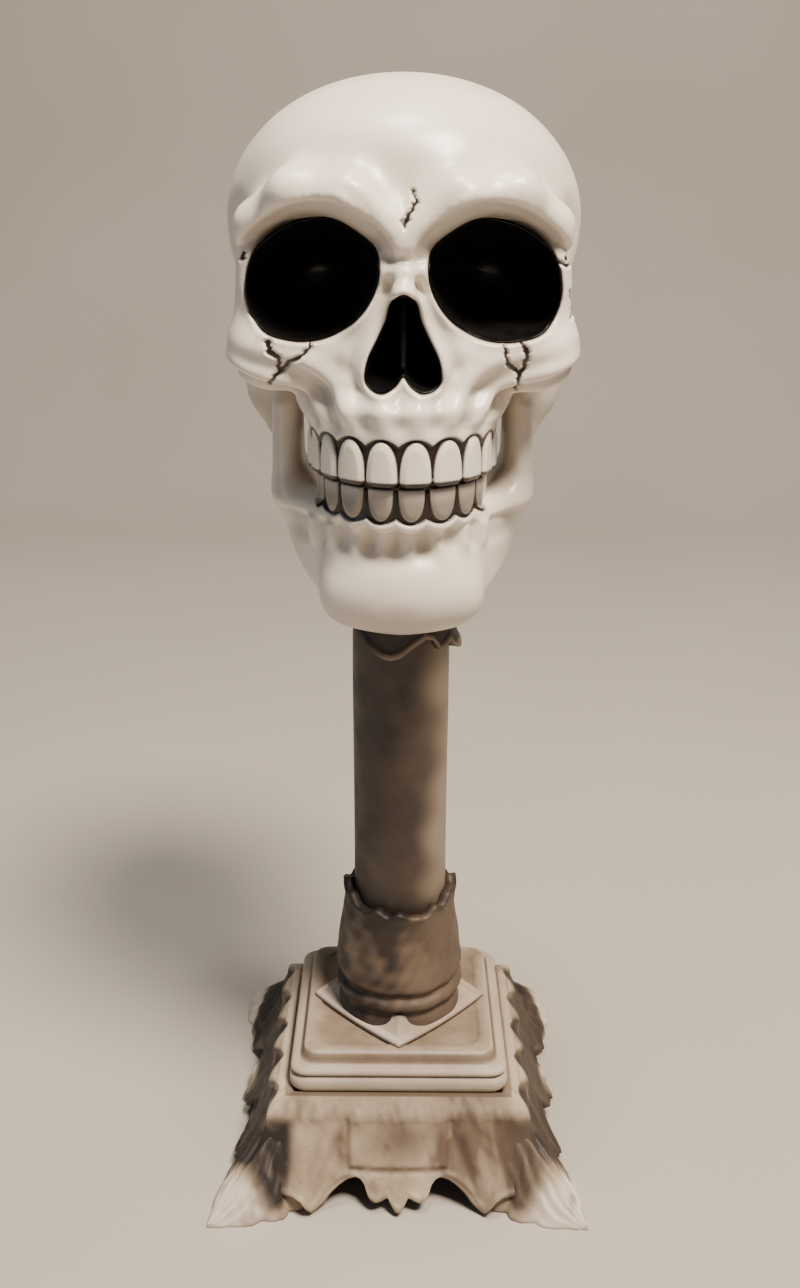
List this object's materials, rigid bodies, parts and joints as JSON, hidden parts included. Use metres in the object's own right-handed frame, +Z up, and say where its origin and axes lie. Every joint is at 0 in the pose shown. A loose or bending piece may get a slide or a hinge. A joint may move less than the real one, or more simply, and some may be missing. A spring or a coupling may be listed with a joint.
{
  "type": "skull on a column stand",
  "caption": "Bone-white skull with a hinged lower jaw and black sockets on a round column, held in torn sleeves on a square base with leaf feet; stands on a table as decoration.",
  "frame": {"origin": "centre of the footprint on the table, under the axis of the column", "axes": "+Z up along the column, the face looks towards -Y, +X to the right of someone looking at the face"},
  "size_m": [0.158, 0.158, 0.4467],
  "materials": {
    "bone": "glossy, lightly aged",
    "socket_black": "high gloss",
    "stone": "stone-like paint with dark airbrushed recesses",
    "smoke": "satin, smoky shading",
    "nylon": "natural",
    "steel": "zinc plated"
  },
  "bodies": {
    "stand": {"face_shell": "bone", "rear_shell": "bone", "eye_cup_right": "socket_black", "eye_cup_left": "socket_black", "nose_cup": "socket_black", "base_shell": "stone", "column_socket": "stone", "column_tube": "smoke", "neck_socket": "smoke", "jaw_washer_right": "nylon", "jaw_washer_left": "nylon", "tie_rod": "steel", "top_washer": "steel", "top_nut": "steel", "bottom_washer": "steel", "bottom_nut": "steel", "jaw_pivot_right": "steel", "jaw_pivot_left": "steel", "seam_screw_1": "steel", "seam_screw_2": "steel", "seam_screw_3": "steel", "seam_screw_4": "steel", "floor_screw_1": "steel", "floor_screw_2": "steel", "floor_screw_3": "steel", "floor_screw_4": "steel"},
    "jaw": {"lower_jaw": "bone"}
  },
  "joints": [
    {"name": "jaw_hinge", "type": "hinge", "parent": "stand", "child": "jaw", "pos_m": [0, 0.002, 0.3433], "axis": [1, 0, 0], "range_deg": [0, 10]}
  ]
}
